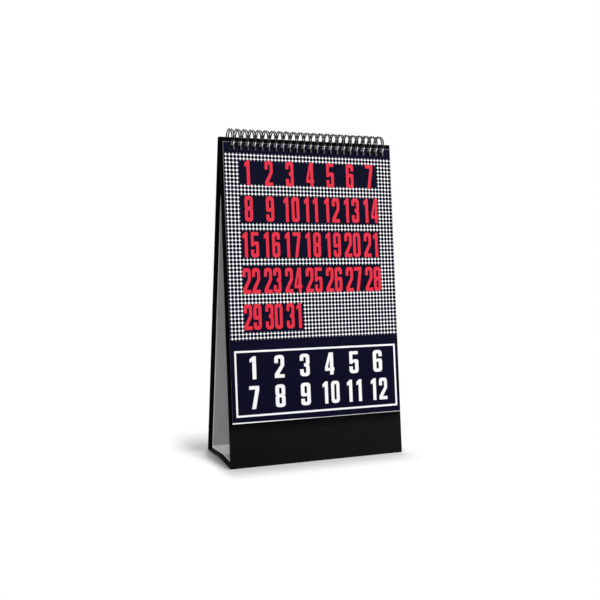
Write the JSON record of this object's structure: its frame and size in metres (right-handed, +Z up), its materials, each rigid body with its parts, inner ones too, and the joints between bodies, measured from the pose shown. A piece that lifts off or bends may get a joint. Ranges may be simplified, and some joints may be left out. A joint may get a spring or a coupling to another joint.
{
  "type": "desk calendar",
  "caption": "Portrait desk calendar: black folding easel, twin-loop wire binding along the top, dotted navy cover leaf and month leaves that turn over the ring.",
  "frame": {"origin": "middle of the easel's footprint, on the desk", "axes": "+Z up, -Y out of the cover leaf, +X to the right as seen by the reader"},
  "size_m": [0.1562, 0.0654, 0.2741],
  "materials": {
    "board": "matt grey pressed board",
    "black_paper": "matt black covering paper",
    "lining": "matt grey lining paper",
    "cover_print": "smooth printed card, navy with white dots and red numerals",
    "leaf_paper": "smooth white printing paper",
    "wire": "dark nickel-plated steel wire"
  },
  "bodies": {
    "stand": {"front_board": "board", "front_cover_paper": "black_paper", "front_lining": "lining", "base_board": "board", "base_cover_paper": "black_paper", "base_lining": "lining", "wire_binding": "wire"},
    "rear_panel": {"rear_board": "board", "rear_cover_paper": "black_paper", "rear_lining": "lining"},
    "cover_leaf_body": {"cover_leaf": "cover_print"},
    "month_leaf_01_body": {"month_leaf_01": "leaf_paper"},
    "month_leaf_02_body": {"month_leaf_02": "leaf_paper"},
    "month_leaf_03_body": {"month_leaf_03": "leaf_paper"},
    "month_leaf_04_body": {"month_leaf_04": "leaf_paper"},
    "month_leaf_05_body": {"month_leaf_05": "leaf_paper"},
    "month_leaf_06_body": {"month_leaf_06": "leaf_paper"},
    "month_leaf_07_body": {"month_leaf_07": "leaf_paper"},
    "month_leaf_08_body": {"month_leaf_08": "leaf_paper"},
    "month_leaf_09_body": {"month_leaf_09": "leaf_paper"},
    "month_leaf_10_body": {"month_leaf_10": "leaf_paper"},
    "month_leaf_11_body": {"month_leaf_11": "leaf_paper"},
    "month_leaf_12_body": {"month_leaf_12": "leaf_paper"}
  },
  "joints": [
    {"name": "stand_fold", "type": "hinge", "parent": "stand", "child": "rear_panel", "pos_m": [0, 0.005, 0.2655], "axis": [-1, 0, 0], "range_deg": [0, 12], "deforming": ["base_board", "base_cover_paper", "base_lining"]},
    {"name": "cover_leaf_turn", "type": "hinge", "parent": "stand", "child": "cover_leaf_body", "pos_m": [0, 0.005, 0.2655], "axis": [-1, 0, 0], "range_deg": [0, 265]},
    {"name": "month_leaf_01_turn", "type": "hinge", "parent": "stand", "child": "month_leaf_01_body", "pos_m": [0, 0.005, 0.2655], "axis": [-1, 0, 0], "range_deg": [0, 265]},
    {"name": "month_leaf_02_turn", "type": "hinge", "parent": "stand", "child": "month_leaf_02_body", "pos_m": [0, 0.005, 0.2655], "axis": [-1, 0, 0], "range_deg": [0, 265]},
    {"name": "month_leaf_03_turn", "type": "hinge", "parent": "stand", "child": "month_leaf_03_body", "pos_m": [0, 0.005, 0.2655], "axis": [-1, 0, 0], "range_deg": [0, 265]},
    {"name": "month_leaf_04_turn", "type": "hinge", "parent": "stand", "child": "month_leaf_04_body", "pos_m": [0, 0.005, 0.2655], "axis": [-1, 0, 0], "range_deg": [0, 265]},
    {"name": "month_leaf_05_turn", "type": "hinge", "parent": "stand", "child": "month_leaf_05_body", "pos_m": [0, 0.005, 0.2655], "axis": [-1, 0, 0], "range_deg": [0, 265]},
    {"name": "month_leaf_06_turn", "type": "hinge", "parent": "stand", "child": "month_leaf_06_body", "pos_m": [0, 0.005, 0.2655], "axis": [-1, 0, 0], "range_deg": [0, 265]},
    {"name": "month_leaf_07_turn", "type": "hinge", "parent": "stand", "child": "month_leaf_07_body", "pos_m": [0, 0.005, 0.2655], "axis": [-1, 0, 0], "range_deg": [0, 265]},
    {"name": "month_leaf_08_turn", "type": "hinge", "parent": "stand", "child": "month_leaf_08_body", "pos_m": [0, 0.005, 0.2655], "axis": [-1, 0, 0], "range_deg": [0, 265]},
    {"name": "month_leaf_09_turn", "type": "hinge", "parent": "stand", "child": "month_leaf_09_body", "pos_m": [0, 0.005, 0.2655], "axis": [-1, 0, 0], "range_deg": [0, 265]},
    {"name": "month_leaf_10_turn", "type": "hinge", "parent": "stand", "child": "month_leaf_10_body", "pos_m": [0, 0.005, 0.2655], "axis": [-1, 0, 0], "range_deg": [0, 265]},
    {"name": "month_leaf_11_turn", "type": "hinge", "parent": "stand", "child": "month_leaf_11_body", "pos_m": [0, 0.005, 0.2655], "axis": [-1, 0, 0], "range_deg": [0, 265]},
    {"name": "month_leaf_12_turn", "type": "hinge", "parent": "stand", "child": "month_leaf_12_body", "pos_m": [0, 0.005, 0.2655], "axis": [-1, 0, 0], "range_deg": [0, 265]}
  ],
  "couplings": [
    {"joint": "month_leaf_01_turn", "follows": "cover_leaf_turn", "ratio": 0.996},
    {"joint": "month_leaf_02_turn", "follows": "cover_leaf_turn", "ratio": 0.992},
    {"joint": "month_leaf_03_turn", "follows": "cover_leaf_turn", "ratio": 0.988},
    {"joint": "month_leaf_04_turn", "follows": "cover_leaf_turn", "ratio": 0.984},
    {"joint": "month_leaf_05_turn", "follows": "cover_leaf_turn", "ratio": 0.98},
    {"joint": "month_leaf_06_turn", "follows": "cover_leaf_turn", "ratio": 0.976},
    {"joint": "month_leaf_07_turn", "follows": "cover_leaf_turn", "ratio": 0.972},
    {"joint": "month_leaf_08_turn", "follows": "cover_leaf_turn", "ratio": 0.968},
    {"joint": "month_leaf_09_turn", "follows": "cover_leaf_turn", "ratio": 0.964},
    {"joint": "month_leaf_10_turn", "follows": "cover_leaf_turn", "ratio": 0.96},
    {"joint": "month_leaf_11_turn", "follows": "cover_leaf_turn", "ratio": 0.956},
    {"joint": "month_leaf_12_turn", "follows": "cover_leaf_turn", "ratio": 0.952}
  ]
}
